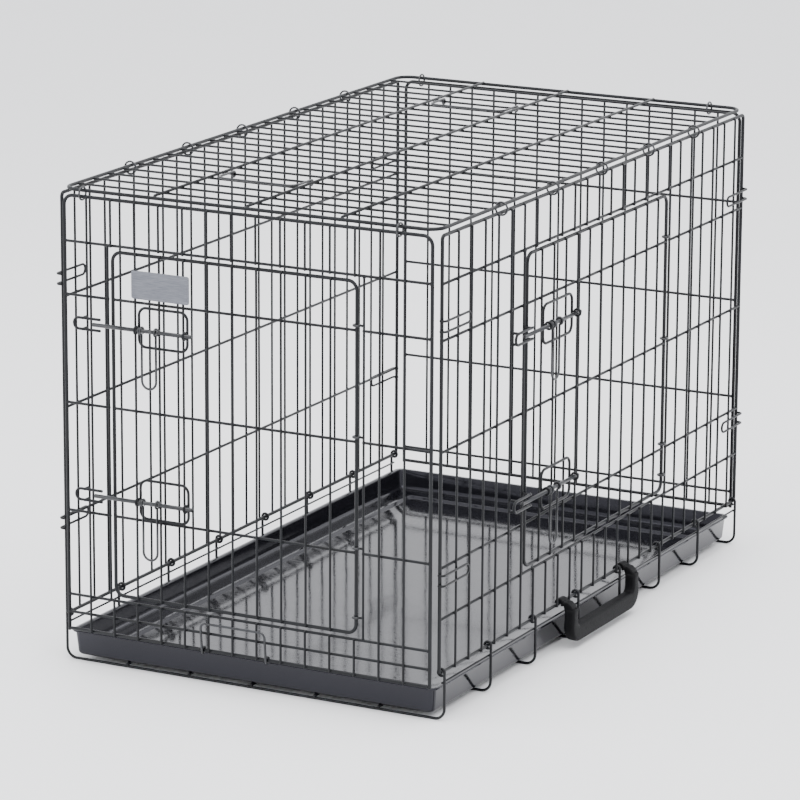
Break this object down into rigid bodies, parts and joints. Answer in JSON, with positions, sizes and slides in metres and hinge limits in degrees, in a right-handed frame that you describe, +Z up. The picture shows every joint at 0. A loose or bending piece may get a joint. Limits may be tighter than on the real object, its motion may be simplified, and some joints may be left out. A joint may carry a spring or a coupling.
{
  "type": "folding wire dog crate",
  "caption": "Folding wire dog crate with a front door and a side door, slide bolts, a pull-out tray and a side carry handle.",
  "frame": {"origin": "on the floor under the middle of the crate's bounding box", "axes": "+Z up; the front end with the label faces -Y; the side door and the carry handle are on the +X side"},
  "size_m": [0.5538, 0.9312, 0.6106],
  "materials": {
    "black_wire": "satin black electro-coat",
    "tray_plastic": "glossy dark moulded plastic",
    "handle_plastic": "fine-textured black plastic",
    "plate_metal": "satin grey plate, left blank"
  },
  "bodies": {
    "floor": {"floor_panel": "black_wire", "floor_side_rails": "black_wire", "right_floor_hinge_eyes": "black_wire", "left_floor_hinge_eyes": "black_wire"},
    "left_side": {"left_side_panel": "black_wire", "left_corner_hooks": "black_wire"},
    "right_side": {"right_side_panel": "black_wire", "right_side_jambs": "black_wire", "right_corner_hooks": "black_wire", "side_door_hinge_eyes": "black_wire", "side_hinge_tails": "black_wire", "side_latch_keepers": "black_wire"},
    "roof": {"roof_panel": "black_wire", "left_roof_rings": "black_wire", "right_roof_rings": "black_wire"},
    "front_hanger": {"front_hanger_rings": "black_wire"},
    "rear_hanger": {"rear_hanger_rings": "black_wire"},
    "front_end": {"front_end_panel": "black_wire", "front_end_jambs": "black_wire", "front_door_hinge_eyes": "black_wire", "front_hinge_tails": "black_wire", "front_latch_keepers": "black_wire"},
    "rear_end": {"rear_end_panel": "black_wire"},
    "front_door": {"front_door": "black_wire", "front_latch_guides": "black_wire", "label_plate": "plate_metal"},
    "side_door": {"side_door": "black_wire", "side_latch_guides": "black_wire"},
    "tray": {"tray": "tray_plastic"},
    "tray_stop": {"tray_stop": "black_wire"},
    "front_bail": {"front_roof_bail": "black_wire"},
    "rear_bail": {"rear_roof_bail": "black_wire"},
    "handle": {"carry_handle": "handle_plastic"},
    "front_upper_bolt": {"front_upper_bolt": "black_wire"},
    "front_upper_pull": {"front_upper_pull": "black_wire"},
    "front_lower_bolt": {"front_lower_bolt": "black_wire"},
    "front_lower_pull": {"front_lower_pull": "black_wire"},
    "side_upper_bolt": {"side_upper_bolt": "black_wire"},
    "side_upper_pull": {"side_upper_pull": "black_wire"},
    "side_lower_bolt": {"side_lower_bolt": "black_wire"},
    "side_lower_pull": {"side_lower_pull": "black_wire"}
  },
  "joints": [
    {"name": "crate_fold", "type": "hinge", "parent": "floor", "child": "left_side", "pos_m": [-0.26173, 0, 0.061], "axis": [0, 1, 0], "range_deg": [-85, 0]},
    {"name": "right_side_fold", "type": "hinge", "parent": "floor", "child": "right_side", "pos_m": [0.26173, 0, 0.061], "axis": [0, 1, 0], "range_deg": [-85, 0]},
    {"name": "roof_fold", "type": "hinge", "parent": "left_side", "child": "roof", "pos_m": [-0.26173, 0, 0.598], "axis": [0, 1, 0], "range_deg": [0, 85]},
    {"name": "front_ring_fold", "type": "hinge", "parent": "roof", "child": "front_hanger", "pos_m": [0, -0.44793, 0.605], "axis": [1, 0, 0], "range_deg": [-85, 0]},
    {"name": "rear_ring_fold", "type": "hinge", "parent": "roof", "child": "rear_hanger", "pos_m": [0, 0.44793, 0.605], "axis": [1, 0, 0], "range_deg": [0, 85]},
    {"name": "front_end_fold", "type": "hinge", "parent": "front_hanger", "child": "front_end", "pos_m": [0, -0.45173, 0.598], "axis": [1, 0, 0], "range_deg": [0, 86]},
    {"name": "rear_end_fold", "type": "hinge", "parent": "rear_hanger", "child": "rear_end", "pos_m": [0, 0.45173, 0.598], "axis": [-1, 0, 0], "range_deg": [0, 80]},
    {"name": "front_door_hinge", "type": "hinge", "parent": "front_end", "child": "front_door", "pos_m": [0.153, -0.45173, 0.3], "axis": [0, 0, -1], "range_deg": [-150, 0]},
    {"name": "side_door_hinge", "type": "hinge", "parent": "right_side", "child": "side_door", "pos_m": [0.26173, 0.197, 0.3], "axis": [0, 0, 1], "range_deg": [0, 150]},
    {"name": "front_upper_bolt_slide", "type": "slide", "parent": "front_door", "child": "front_upper_bolt", "axis": [1, 0, 0], "range_m": [0, 0.03]},
    {"name": "front_upper_pull_swing", "type": "hinge", "parent": "front_upper_bolt", "child": "front_upper_pull", "pos_m": [-0.126, -0.46639, 0.443], "axis": [-1, 0, 0], "range_deg": [0, 120]},
    {"name": "front_lower_bolt_slide", "type": "slide", "parent": "front_door", "child": "front_lower_bolt", "axis": [1, 0, 0], "range_m": [0, 0.03]},
    {"name": "front_lower_pull_swing", "type": "hinge", "parent": "front_lower_bolt", "child": "front_lower_pull", "pos_m": [-0.126, -0.46639, 0.226], "axis": [-1, 0, 0], "range_deg": [0, 120]},
    {"name": "side_upper_bolt_slide", "type": "slide", "parent": "side_door", "child": "side_upper_bolt", "axis": [0, 1, 0], "range_m": [0, 0.042]},
    {"name": "side_upper_pull_swing", "type": "hinge", "parent": "side_upper_bolt", "child": "side_upper_pull", "pos_m": [0.27639, -0.162, 0.438], "axis": [0, -1, 0], "range_deg": [0, 120]},
    {"name": "side_lower_bolt_slide", "type": "slide", "parent": "side_door", "child": "side_lower_bolt", "axis": [0, 1, 0], "range_m": [0, 0.042]},
    {"name": "side_lower_pull_swing", "type": "hinge", "parent": "side_lower_bolt", "child": "side_lower_pull", "pos_m": [0.27639, -0.162, 0.227], "axis": [0, -1, 0], "range_deg": [0, 120]},
    {"name": "tray_slide", "type": "slide", "parent": "floor", "child": "tray", "axis": [0, -1, 0], "range_m": [0, 0.93]},
    {"name": "tray_stop_hinge", "type": "hinge", "parent": "front_end", "child": "tray_stop", "pos_m": [0, -0.45173, 0.045], "axis": [1, 0, 0], "range_deg": [0, 174]},
    {"name": "front_bail_hinge", "type": "hinge", "parent": "roof", "child": "front_bail", "pos_m": [-0.064, -0.26876, 0.60427], "axis": [-1, 0, 0], "range_deg": [0, 120]},
    {"name": "rear_bail_hinge", "type": "hinge", "parent": "roof", "child": "rear_bail", "pos_m": [-0.064, 0.30459, 0.60427], "axis": [-1, 0, 0], "range_deg": [0, 120]},
    {"name": "handle_swing", "type": "hinge", "parent": "right_side", "child": "handle", "pos_m": [0.26173, 0, 0.061], "axis": [0, -1, 0], "range_deg": [0, 120]}
  ],
  "couplings": [
    {"joint": "right_side_fold", "follows": "crate_fold", "ratio": 1},
    {"joint": "roof_fold", "follows": "crate_fold", "ratio": -1},
    {"joint": "front_ring_fold", "follows": "crate_fold", "ratio": 1},
    {"joint": "rear_ring_fold", "follows": "crate_fold", "ratio": -1}
  ]
}
